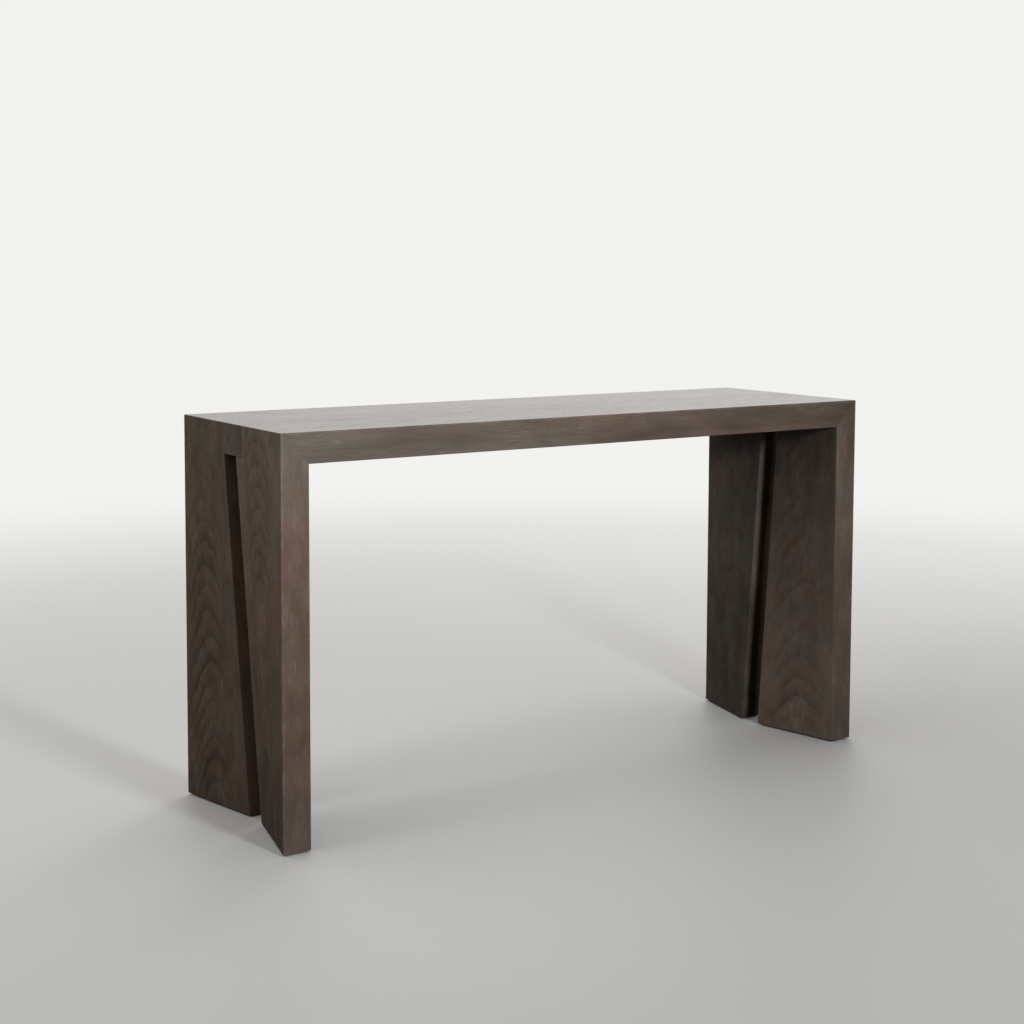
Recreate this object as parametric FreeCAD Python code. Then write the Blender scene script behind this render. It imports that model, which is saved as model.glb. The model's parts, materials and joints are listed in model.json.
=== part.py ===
import FreeCAD, Part
import math
import os

# Waterfall sofa table in solid oak: a mitred slab top on two slotted ends.
# Millimetres, +Z up, +X along the length, the front towards -Y.
# The origin lies on the floor, midway along the length and the depth.

# Overall sizes
table_length = 1395.0
table_depth = 435.0
table_height = 762.0
top_thickness = 57.5
plank_thickness = 55.5
edge_ease = 1.5

# Slot in each end: width at the head, how far its edges wind inwards at the floor,
# and how far the slot leans sideways on its way down
slot_width = 53.0
slot_twist = 42.0
slot_lean = 9.0

# Bridge block that closes the slot at its head
bridge_lap = 28.0
bridge_lip = 2.0

# Boards of the top, from front to rear
top_board_names = ("top_front_board", "top_middle_board", "top_rear_board")
seam_tenon_names = ("front_seam_tenons", "rear_seam_tenons")

# Loose tenons across each mitre: their margin from the plank's outer edge,
# their gap from the bridge block's dowels and their setback from the inner corner
mitre_tenon_thickness = 10.0
mitre_tenon_width = 24.0
mitre_tenon_length = 50.0
mitre_tenon_count = 3
mitre_tenon_margin = 30.0
mitre_tenon_gap = 14.0
mitre_tenon_setback = 34.0

# Loose tenons along each seam of the top
seam_tenon_thickness = 8.0
seam_tenon_width = 22.0
seam_tenon_length = 40.0
seam_tenon_count = 5
seam_tenon_margin = 170.0

# Dowels from each bridge block into the planks beside it
dowel_diameter = 8.0
dowel_length = 32.0
dowel_inset = 16.0
dowel_rise = 17.0

# Nail-on floor glides, two under each plank
glide_height = 3.0
glide_diameter = 22.0
glide_margin = 35.0
nail_diameter = 2.6
nail_depth = 16.0
nail_head_diameter = 6.0
nail_head_height = 1.0
nail_floor_cover = 0.8

# Room for glue round tenons, dowels and nails, and past their ends
glue_clearance = 0.1
end_clearance = 1.0

# Levels and places that follow from the sizes above
underside = table_height - top_thickness
slot_top = underside - bridge_lip
plank_bottom = glide_height
left_face = -table_length / 2
left_inner = left_face + plank_thickness
front_face = -table_depth / 2
rear_face = table_depth / 2
slot_front = -slot_width / 2
slot_rear = slot_width / 2
bridge_front = slot_front - bridge_lap
bridge_rear = slot_rear
board_count = len(top_board_names)
board_width = table_depth / board_count
mitre_length = math.hypot(plank_thickness, top_thickness)


def vector(x, y, z):
    """A point or direction in the table's frame."""
    return FreeCAD.Vector(x, y, z)


def polygon_prism(points, direction):
    """A solid swept from a flat loop of points along a direction."""
    loop = Part.makePolygon(points + points[:1])
    return Part.Face(loop).extrude(direction)


def box_between(low, high):
    """A block between two opposite corners."""
    size = high - low
    return Part.makeBox(size.x, size.y, size.z, low)


def eased_loop(corners, eased):
    """Loop of points with the marked corners cut back by the edge easing."""
    loop = []
    for index, corner in enumerate(corners):
        if not eased[index]:
            loop.append(corner)
            continue
        for neighbour in (corners[index - 1], corners[(index + 1) % len(corners)]):
            towards = (neighbour - corner).normalize()
            loop.append(corner + towards * edge_ease)
    return loop


def loose_tenon(thickness, width, length, grow=0.0, lengthen=0.0):
    """Tenon with round edges, its length on Z and its width on Y, about its centre."""
    radius = thickness / 2 + grow
    straight = width - thickness
    half_length = length / 2 + lengthen
    body = box_between(
        vector(-radius, -straight / 2, -half_length),
        vector(radius, straight / 2, half_length),
    )
    for side in (-straight / 2, straight / 2):
        edge = Part.makeCylinder(radius, 2 * half_length, vector(0, side, -half_length))
        body = body.fuse(edge)
    return body.removeSplitter()


def moved(shape, place, turn=FreeCAD.Rotation()):
    """A turned copy of a shape, set at a place."""
    copy = shape.copy()
    copy.Placement = FreeCAD.Placement(place, turn)
    return copy


def opposite(shape):
    """The same piece at the other end: the table is alike when turned half round."""
    copy = shape.copy()
    copy.rotate(vector(0, 0, 0), vector(0, 0, 1), 180)
    return copy


def mitre_tip(side):
    """Where the eased outer corner crosses the mitre, as x and z; side is -1 or 1."""
    share = edge_ease / (plank_thickness + top_thickness)
    return side * (table_length / 2 - plank_thickness * share), table_height - top_thickness * share


def top_boards():
    """The boards of the top from front to rear, mitred at both ends."""
    left_tip_x, tip_z = mitre_tip(-1)
    right_tip_x = mitre_tip(1)[0]
    profile = (
        (left_face + edge_ease, table_height),
        (-left_face - edge_ease, table_height),
        (right_tip_x, tip_z),
        (-left_inner, underside),
        (left_inner, underside),
        (left_tip_x, tip_z),
    )
    points = [vector(x, front_face, z) for x, z in profile]
    slab = polygon_prism(points, vector(0, table_depth, 0))
    boards = []
    for index in range(board_count):
        near = front_face + index * board_width
        far = near + board_width
        corners = [
            vector(left_face, near, underside),
            vector(left_face, near, table_height),
            vector(left_face, far, table_height),
            vector(left_face, far, underside),
        ]
        at_front = index == 0
        at_rear = index == board_count - 1
        loop = eased_loop(corners, (at_front, at_front, at_rear, at_rear))
        boards.append(slab.common(polygon_prism(loop, vector(table_length, 0, 0))))
    return boards


def head_profile_prism(near, far):
    """Mitred head of the left end between two places along the depth."""
    tip_x, tip_z = mitre_tip(-1)
    profile = (
        (left_face, slot_top),
        (left_face, table_height - edge_ease),
        (tip_x, tip_z),
        (left_inner, underside),
        (left_inner, slot_top),
    )
    points = [vector(x, near, z) for x, z in profile]
    return polygon_prism(points, vector(0, far - near, 0))


def plank_corners(outer_edge, slot_edge, level):
    """Corners of a left plank's section, wound inwards the nearer it is to the floor."""
    wind = (slot_top - level) / (slot_top - plank_bottom)
    inwards = slot_twist * wind
    sideways = slot_edge - slot_lean * wind
    return [
        vector(left_face, outer_edge, level),
        vector(left_face + inwards, sideways, level),
        vector(left_inner + inwards, sideways, level),
        vector(left_inner, outer_edge, level),
    ]


def twisted_plank(outer_edge, slot_edge, head_edge):
    """A plank of the left end: a mitred head over a blade that winds inwards."""
    loops = []
    for level in (slot_top, plank_bottom):
        loop = eased_loop(plank_corners(outer_edge, slot_edge, level), (True,) * 4)
        loops.append(Part.makePolygon(loop + loop[:1]))
    blade = Part.makeLoft(loops, True, True)
    head_corners = plank_corners(outer_edge, head_edge, slot_top)
    head_loop = eased_loop(head_corners, (True, False, False, True))
    column = polygon_prism(head_loop, vector(0, 0, table_height - slot_top))
    near = min(outer_edge, head_edge)
    far = max(outer_edge, head_edge)
    head = column.common(head_profile_prism(near, far))
    return blade.fuse(head).removeSplitter()


def mitre_place(along_depth):
    """Centre of a tenon in the left mitre, at its setback from the inner corner."""
    outwards = vector(-plank_thickness, 0, top_thickness) / mitre_length
    corner = vector(left_inner, along_depth, underside)
    return corner + outwards * mitre_tenon_setback


def mitre_turn():
    """Turn that lays a tenon's length square to the left mitre."""
    square = vector(top_thickness, 0, plank_thickness)
    return FreeCAD.Rotation(vector(0, 0, 1), square)


def mitre_tenon_steps():
    """Distances of the tenons from a plank's outer edge, evenly up to the dowels' gap."""
    dowel_reach = dowel_length / 2 + end_clearance
    head_width = bridge_front - front_face
    last = head_width - dowel_reach - mitre_tenon_gap - mitre_tenon_width / 2
    pitch = (last - mitre_tenon_margin) / (mitre_tenon_count - 1)
    return [mitre_tenon_margin + n * pitch for n in range(mitre_tenon_count)]


def mitre_tenons(places):
    """Tenons and the mortises for them, at places along the left mitre."""
    sizes = (mitre_tenon_thickness, mitre_tenon_width, mitre_tenon_length)
    tenon = loose_tenon(*sizes)
    mortise = loose_tenon(*sizes, grow=glue_clearance, lengthen=end_clearance)
    tenons = [moved(tenon, mitre_place(y), mitre_turn()) for y in places]
    mortises = [moved(mortise, mitre_place(y), mitre_turn()) for y in places]
    return tenons, mortises


def seam_tenons(seam):
    """Tenons and mortises along one seam of the top, at its place in the depth."""
    sizes = (seam_tenon_thickness, seam_tenon_width, seam_tenon_length)
    tenon = loose_tenon(*sizes)
    mortise = loose_tenon(*sizes, grow=glue_clearance, lengthen=end_clearance)
    turn = FreeCAD.Rotation(vector(0, 0, 1), vector(1, 0, 0), vector(0, 1, 0), "ZXY")
    first = left_face + seam_tenon_margin
    pitch = (table_length - 2 * seam_tenon_margin) / (seam_tenon_count - 1)
    level = table_height - top_thickness / 2
    places = [vector(first + n * pitch, seam, level) for n in range(seam_tenon_count)]
    tenons = [moved(tenon, place, turn) for place in places]
    mortises = [moved(mortise, place, turn) for place in places]
    return tenons, mortises


def bridge_dowels():
    """Dowels and their holes at the two sides of the left bridge block."""
    dowels = []
    holes = []
    for joint in (bridge_front, bridge_rear):
        place = vector(left_face + dowel_inset, joint, slot_top + dowel_rise)
        along = vector(0, 1, 0)
        start = place - along * (dowel_length / 2)
        dowels.append(Part.makeCylinder(dowel_diameter / 2, dowel_length, start, along))
        hole_length = dowel_length + 2 * end_clearance
        hole_start = place - along * (hole_length / 2)
        hole_radius = dowel_diameter / 2 + glue_clearance
        holes.append(Part.makeCylinder(hole_radius, hole_length, hole_start, along))
    return dowels, holes


def glide_places(outer_edge, slot_edge):
    """Centres of a left plank's two glides, on the middle line of its foot."""
    outer_a, slot_a, slot_b, outer_b = plank_corners(outer_edge, slot_edge, plank_bottom)
    outer_end = (outer_a + outer_b) / 2
    slot_end = (slot_a + slot_b) / 2
    along = (slot_end - outer_end).normalize()
    return [outer_end + along * glide_margin, slot_end - along * glide_margin]


def glide_nail(place, grow=0.0, lengthen=0.0):
    """Nail of a glide: its head inside the pad, its shank up in the plank."""
    head_base = place - vector(0, 0, glide_height - nail_floor_cover + grow)
    head_height = nail_head_height + 2 * grow
    head = Part.makeCylinder(nail_head_diameter / 2 + grow, head_height, head_base)
    shank_height = place.z + nail_depth + lengthen - head_base.z
    shank = Part.makeCylinder(nail_diameter / 2 + grow, shank_height, head_base)
    return head.fuse(shank).removeSplitter()


def glide_pad(place):
    """Round pad under a plank, moulded round the head of its nail."""
    base = place - vector(0, 0, glide_height)
    pad = Part.makeCylinder(glide_diameter / 2, glide_height, base)
    return pad.cut(glide_nail(place, grow=glue_clearance))


def plank_set(outer_edge, slot_edge, head_edge, mortises):
    """A left plank bored for its nails, with its pads and nails."""
    plank = twisted_plank(outer_edge, slot_edge, head_edge)
    for mortise in mortises:
        plank = plank.cut(mortise)
    pads = []
    nails = []
    for place in glide_places(outer_edge, slot_edge):
        pads.append(glide_pad(place))
        nails.append(glide_nail(place))
        plank = plank.cut(glide_nail(place, grow=glue_clearance, lengthen=end_clearance))
    return plank, pads, nails


def table_pieces():
    """Every piece of the table, as lists of solids under their node names."""
    steps = mitre_tenon_steps()
    front_tenons, front_mortises = mitre_tenons([front_face + step for step in steps])
    rear_tenons, rear_mortises = mitre_tenons([rear_face - step for step in steps])
    bridge_tenon, bridge_mortise = mitre_tenons([(bridge_front + bridge_rear) / 2])
    dowels, dowel_holes = bridge_dowels()

    front_cuts = front_mortises + dowel_holes
    rear_cuts = rear_mortises + dowel_holes
    front_plank, front_pads, front_nails = plank_set(front_face, slot_front, bridge_front, front_cuts)
    rear_plank, rear_pads, rear_nails = plank_set(rear_face, slot_rear, slot_rear, rear_cuts)
    bridge = head_profile_prism(bridge_front, bridge_rear)
    for mortise in bridge_mortise + dowel_holes:
        bridge = bridge.cut(mortise)

    left_end = {
        "front_plank": [front_plank],
        "rear_plank": [rear_plank],
        "bridge_block": [bridge],
        "front_mitre_tenons": front_tenons,
        "rear_mitre_tenons": rear_tenons,
        "bridge_tenon": bridge_tenon,
        "bridge_dowels": dowels,
        "front_glides": front_pads,
        "rear_glides": rear_pads,
        "front_glide_nails": front_nails,
        "rear_glide_nails": rear_nails,
    }
    turned_side = {"front": "rear", "rear": "front"}
    pieces = {}
    for name, solids in left_end.items():
        side, rest = name.split("_", 1)
        turned_name = turned_side.get(side, side) + "_" + rest
        pieces["left_" + name] = solids
        pieces["right_" + turned_name] = [opposite(solid) for solid in solids]

    left_mortises = front_mortises + rear_mortises + bridge_mortise
    top_mortises = left_mortises + [opposite(mortise) for mortise in left_mortises]
    for number, name in enumerate(seam_tenon_names, start=1):
        tenons, mortises = seam_tenons(front_face + number * board_width)
        pieces[name] = tenons
        top_mortises += mortises
    for name, board in zip(top_board_names, top_boards()):
        for mortise in top_mortises:
            board = board.cut(mortise)
        pieces[name] = [board]
    return pieces


os.makedirs("parts", exist_ok=True)
for node, solids in table_pieces().items():
    shape = solids[0] if len(solids) == 1 else Part.makeCompound(solids)
    shape.exportStep("parts/" + node + ".step")
    volume = sum(solid.Volume for solid in solids)
    print(node, len(solids), "solids", round(volume / 1000, 1), "cm3", shape.isValid())
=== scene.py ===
import json
import logging
import math
from collections.abc import Sequence
from dataclasses import dataclass
from enum import Enum
from itertools import product

import bmesh
import bpy
import numpy as np
from mathutils import Matrix, Vector

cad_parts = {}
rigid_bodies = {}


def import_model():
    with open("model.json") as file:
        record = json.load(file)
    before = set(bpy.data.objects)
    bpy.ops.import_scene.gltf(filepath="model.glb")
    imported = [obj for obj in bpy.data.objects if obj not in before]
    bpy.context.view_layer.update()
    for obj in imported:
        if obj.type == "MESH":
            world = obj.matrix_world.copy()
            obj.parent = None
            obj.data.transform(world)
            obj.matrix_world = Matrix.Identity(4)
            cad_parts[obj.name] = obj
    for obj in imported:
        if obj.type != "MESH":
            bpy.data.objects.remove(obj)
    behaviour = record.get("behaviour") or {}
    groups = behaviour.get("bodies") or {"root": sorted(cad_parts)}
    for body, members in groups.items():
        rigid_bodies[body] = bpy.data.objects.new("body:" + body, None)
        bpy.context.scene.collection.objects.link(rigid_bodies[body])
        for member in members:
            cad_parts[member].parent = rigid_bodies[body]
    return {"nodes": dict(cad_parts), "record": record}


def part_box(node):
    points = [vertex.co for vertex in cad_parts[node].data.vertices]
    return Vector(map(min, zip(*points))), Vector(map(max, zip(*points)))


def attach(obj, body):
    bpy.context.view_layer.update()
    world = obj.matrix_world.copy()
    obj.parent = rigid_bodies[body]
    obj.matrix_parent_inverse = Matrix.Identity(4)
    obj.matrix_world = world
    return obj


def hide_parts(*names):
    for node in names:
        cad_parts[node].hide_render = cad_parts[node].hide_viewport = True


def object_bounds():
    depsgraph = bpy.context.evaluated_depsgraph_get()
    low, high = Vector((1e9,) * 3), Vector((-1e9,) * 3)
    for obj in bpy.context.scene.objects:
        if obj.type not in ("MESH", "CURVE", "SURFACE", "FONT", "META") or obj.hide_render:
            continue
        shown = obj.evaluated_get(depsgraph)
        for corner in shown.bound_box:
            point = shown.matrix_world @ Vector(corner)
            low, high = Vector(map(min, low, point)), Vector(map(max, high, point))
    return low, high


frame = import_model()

CAD_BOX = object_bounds()
ROOT_BODY = "root"
IMAGE_PIXELS = 1024

log = logging.getLogger("sofa_table")

Cell = tuple[int, int, int]
Colour = tuple[float, float, float]
Point = tuple[float, float, float]
Profile = tuple[float, ...]
Span = tuple[float, float]
Stops = tuple[Span, ...]
Socket = bpy.types.NodeSocket


class End(Enum):
    """The two ends of the table."""

    LEFT = "left"
    RIGHT = "right"


class Side(Enum):
    """The two long sides of the table."""

    FRONT = "front"
    REAR = "rear"

    def across(self) -> "Side":
        """The other long side."""
        return Side.REAR if self is Side.FRONT else Side.FRONT


class Lie(Enum):
    """How a board lies: flat with its show face upwards, or upright with it to the left."""

    FLAT = "flat"
    UPRIGHT = "upright"


class BoardFace(Enum):
    """The six faces of a board, each as an axis of its grid and a side of that axis."""

    START = (0, 0)
    END = (0, 1)
    SHOW = (1, 0)
    BACK = (1, 1)
    FIRST_EDGE = (2, 0)
    LAST_EDGE = (2, 1)


class FaceKind(Enum):
    """What a face of a board meets."""

    SHOWN = 0
    GLUED = 1
    BRIDGED = 2


@dataclass(frozen=True)
class TableSizes:
    """Sizes of the table in metres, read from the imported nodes.

    Attributes:
        lean: How far a plank's slot edge winds sideways at the floor.
        twist: How far it winds inwards there.
        ease: Radius of the eased arrises.
        joint_ease: Width of the fine break along a bridge block's joints.
        support: Distance from an arris to the grid line that carries its wear.
        glide_margin: Distance from the ends of a plank's foot to its glides.
    """

    length: float
    depth: float
    height: float
    top_thickness: float
    plank_thickness: float
    foot: float
    slot_top: float
    slot_rear: float
    bridge_front: float
    lean: float
    twist: float = 0.042
    ease: float = 0.0015
    joint_ease: float = 0.0007
    support: float = 0.006
    glide_margin: float = 0.035

    @classmethod
    def from_frame(cls) -> "TableSizes":
        """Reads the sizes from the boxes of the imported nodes.

        Returns:
            The table's sizes.
        """
        low, high = CAD_BOX
        bridge_low, bridge_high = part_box("left_bridge_block")
        rear_low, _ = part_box("left_rear_plank")
        board_low, board_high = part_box("top_front_board")
        return cls(
            length=high.x - low.x,
            depth=high.y - low.y,
            height=high.z - low.z,
            top_thickness=board_high.z - board_low.z,
            plank_thickness=bridge_high.x - bridge_low.x,
            foot=rear_low.z,
            slot_top=bridge_low.z,
            slot_rear=bridge_high.y,
            bridge_front=bridge_low.y,
            lean=bridge_high.y - rear_low.y,
        )

    @property
    def left_face(self) -> float:
        """Place of the left end's outer face along the length."""
        return -self.length / 2

    def outer_edge(self, side: Side) -> float:
        """Place of a plank's outer edge along the depth."""
        return -self.depth / 2 if side is Side.FRONT else self.depth / 2

    def slot_edge(self, side: Side) -> float:
        """Place of a left plank's slot edge at the head, along the depth."""
        return -self.slot_rear if side is Side.FRONT else self.slot_rear

    def head_edge(self, side: Side) -> float:
        """Place along the depth where a left plank's head meets the bridge block."""
        return self.bridge_front if side is Side.FRONT else self.slot_rear


@dataclass(frozen=True)
class Field:
    """A field of soft noise from 0 to 1.

    Attributes:
        scale: How often it changes within a metre, on each axis.
        detail: How many finer octaves it has.
        roughness: How strong these are.
        stops: Places and levels of a ramp that leads the noise to other levels.
        reach: Breadth of its swing about zero, for a field that swings.
    """

    scale: Point
    detail: float = 2.0
    roughness: float = 0.5
    stops: Stops = ()
    reach: float = 0.0


class NodeGraph:
    """A small hand for wiring a node tree: most calls add one node and return its output."""

    def __init__(self, tree: bpy.types.NodeTree) -> None:
        """Starts on a tree, and empties it."""
        self.tree = tree
        tree.nodes.clear()

    def node(self, kind: str, inputs: dict | None = None, **settings: object) -> bpy.types.Node:
        """Adds a node, sets its properties and wires or sets its inputs.

        Args:
            kind: The node's type name.
            inputs: Input name or index to a plain value or to another node's output.
            **settings: Properties of the node.

        Returns:
            The new node.
        """
        made = self.tree.nodes.new(kind)
        for name, value in settings.items():
            setattr(made, name, value)
        for key, value in (inputs or {}).items():
            self.feed(made.inputs[key], value)
        return made

    def feed(self, socket: Socket, value: object) -> None:
        """Links an output to a socket, or sets the socket's own value.

        Args:
            socket: The input to feed.
            value: Another node's output, or a plain value. A plain colour is made opaque.
        """
        if isinstance(value, bpy.types.NodeSocket):
            self.tree.links.new(value, socket)
        else:
            socket.default_value = (*value, 1.0) if socket.type == "RGBA" else value

    def math(self, operation: str, *values: object, clamp: bool = False) -> Socket:
        """One arithmetic step on one to three values."""
        made = self.node("ShaderNodeMath", dict(enumerate(values)), operation=operation, use_clamp=clamp)
        return made.outputs[0]

    def times(self, first: Socket, second: object, plus: object = 0.0) -> Socket:
        """Two values multiplied, plus a third."""
        return self.math("MULTIPLY_ADD", first, second, plus)

    def total(self, first: Socket, *others: Socket) -> Socket:
        """Values added up.

        Args:
            first: The first value.
            *others: The rest of them.

        Returns:
            Their sum.
        """
        for other in others:
            first = self.math("ADD", first, other)
        return first

    def vector(self, *parts: object) -> Socket:
        """A vector from its parts."""
        return self.node("ShaderNodeCombineXYZ", dict(enumerate(parts))).outputs[0]

    def parts(self, vector: Socket) -> Sequence[Socket]:
        """The three parts of a vector."""
        return self.node("ShaderNodeSeparateXYZ", {0: vector}).outputs

    def length(self, vector: Socket) -> Socket:
        """The length of a vector."""
        return self.node("ShaderNodeVectorMath", {0: vector}, operation="LENGTH").outputs["Value"]

    def noise(self, vector: Socket, field: Field) -> Socket:
        """Reads a field of noise.

        Args:
            vector: Where it is read.
            field: The field.

        Returns:
            Its level there.
        """
        inputs = {0: vector, 1: field.scale}
        scaled = self.node("ShaderNodeVectorMath", inputs, operation="MULTIPLY").outputs[0]
        inputs = {"Vector": scaled, "Scale": 1.0, "Detail": field.detail, "Roughness": field.roughness}
        level = self.node("ShaderNodeTexNoise", inputs).outputs[0]
        if field.stops:
            return self.ramp(level, field.stops)
        return self.times(level, field.reach, -field.reach / 2) if field.reach else level

    def ramp(self, value: Socket, stops: Stops, smooth: bool = True) -> Socket:
        """A value led through a row of stops.

        Args:
            value: The value, from 0 to 1.
            stops: Places and levels along the ramp.
            smooth: True for eased spans, False for straight ones.

        Returns:
            The level at the value.
        """
        made = self.node("ShaderNodeValToRGB", {0: value})
        made.color_ramp.interpolation = "EASE" if smooth else "LINEAR"
        elements = made.color_ramp.elements
        while len(elements) < len(stops):
            elements.new(0.5)
        for element, (place, level) in zip(elements, stops):
            element.position = place
            element.color = (level, level, level, 1.0)
        return made.outputs[0]

    def blend(self, value: Socket, span: Span, levels: Span) -> Socket:
        """A smooth step from one level to another as a value crosses a span."""
        inputs = dict(zip(("Value", "From Min", "From Max", "To Min", "To Max"), (value, *span, *levels)))
        return self.node("ShaderNodeMapRange", inputs, interpolation_type="SMOOTHSTEP").outputs[0]

    def mix(self, factor: object, first: object, second: object, blend: str = "MIX") -> Socket:
        """Two colours mixed by a factor.

        Args:
            factor: How much of the second colour shows.
            first: The first colour.
            second: The second colour.
            blend: How the second colour is laid on the first.

        Returns:
            The mixed colour.
        """
        made = self.node("ShaderNodeMix", data_type="RGBA", blend_type=blend, clamp_factor=True)
        sockets = [socket for socket in made.inputs if socket.enabled]
        for socket, value in zip(sockets, (factor, first, second)):
            self.feed(socket, value)
        return next(socket for socket in made.outputs if socket.enabled)

    def attribute(self, name: str, output: str = "Fac") -> Socket:
        """A named attribute of the mesh."""
        return self.node("ShaderNodeAttribute", attribute_name=name).outputs[output]

    def place(self, output: str = "Object") -> Socket:
        """Texture coordinates."""
        return self.node("ShaderNodeTexCoord").outputs[output]

    def bump(self, height: Socket, strength: float, depth: float) -> Socket:
        """Normals that follow a height."""
        inputs = {"Height": height, "Strength": strength, "Distance": depth}
        return self.node("ShaderNodeBump", inputs).outputs[0]

    def background_rays(self) -> Socket:
        """Finds rays that look at the background: from the camera, in reflections or through glass.

        Returns:
            One for these rays, and zero for the others.
        """
        path = self.node("ShaderNodeLightPath").outputs
        seen = self.math("MAXIMUM", path["Is Camera Ray"], path["Is Glossy Ray"])
        return self.math("MAXIMUM", seen, path["Is Transmission Ray"])

    def shader(self, inputs: dict[str, object]) -> Socket:
        """The main shader of a finish."""
        return self.node("ShaderNodeBsdfPrincipled", inputs).outputs[0]

    def surface(self, shader: Socket) -> None:
        """Makes a shader the surface of the material."""
        self.node("ShaderNodeOutputMaterial", {"Surface": shader})


def new_material(name: str) -> tuple[bpy.types.Material, NodeGraph]:
    """Starts a material.

    Args:
        name: The material's name.

    Returns:
        The material, and a graph on its empty tree.
    """
    material = bpy.data.materials.new(name)
    material.use_nodes = True
    return material, NodeGraph(material.node_tree)


@dataclass(frozen=True)
class StainLift:
    """How bright the stain is, and how much each pattern adds to it.

    Attributes:
        flame: What strokes that follow the rings add.
        stroke_middle: Level of a stroke that adds nothing.
        darkest: Least brightness of the stain.
    """

    base: float = 0.355
    fibre: float = 0.09
    streak: float = 0.07
    blotch: float = 1.05
    flame: float = 0.65
    stroke_middle: float = 0.46
    darkest: float = 0.15


@dataclass(frozen=True)
class OakGloss:
    """Roughness, shine and relief of bare and lacquered oak.

    Attributes:
        film: Amounts of lacquer over which bare oak turns into a closed film.
        roughness: Roughness of bare oak and of the film.
        polish: Roughness that a coat of lacquer takes away.
        coat_shine: Shine of a coat of lacquer, to which lighter blotches add blotch_shine.
        bump: Strength of the relief, and its depth in metres.
    """

    film: Span = (0.0, 0.5)
    roughness: Span = (0.50, 0.20)
    pore_rough: float = 0.25
    fibre_rough: float = 0.12
    polish: float = 0.07
    bare_shine: float = 0.006
    coat_shine: float = 0.03
    blotch_shine: float = 1.15
    fibre_relief: float = 0.25
    band_relief: float = 0.25
    bump: Span = (0.18, 0.0003)


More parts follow.
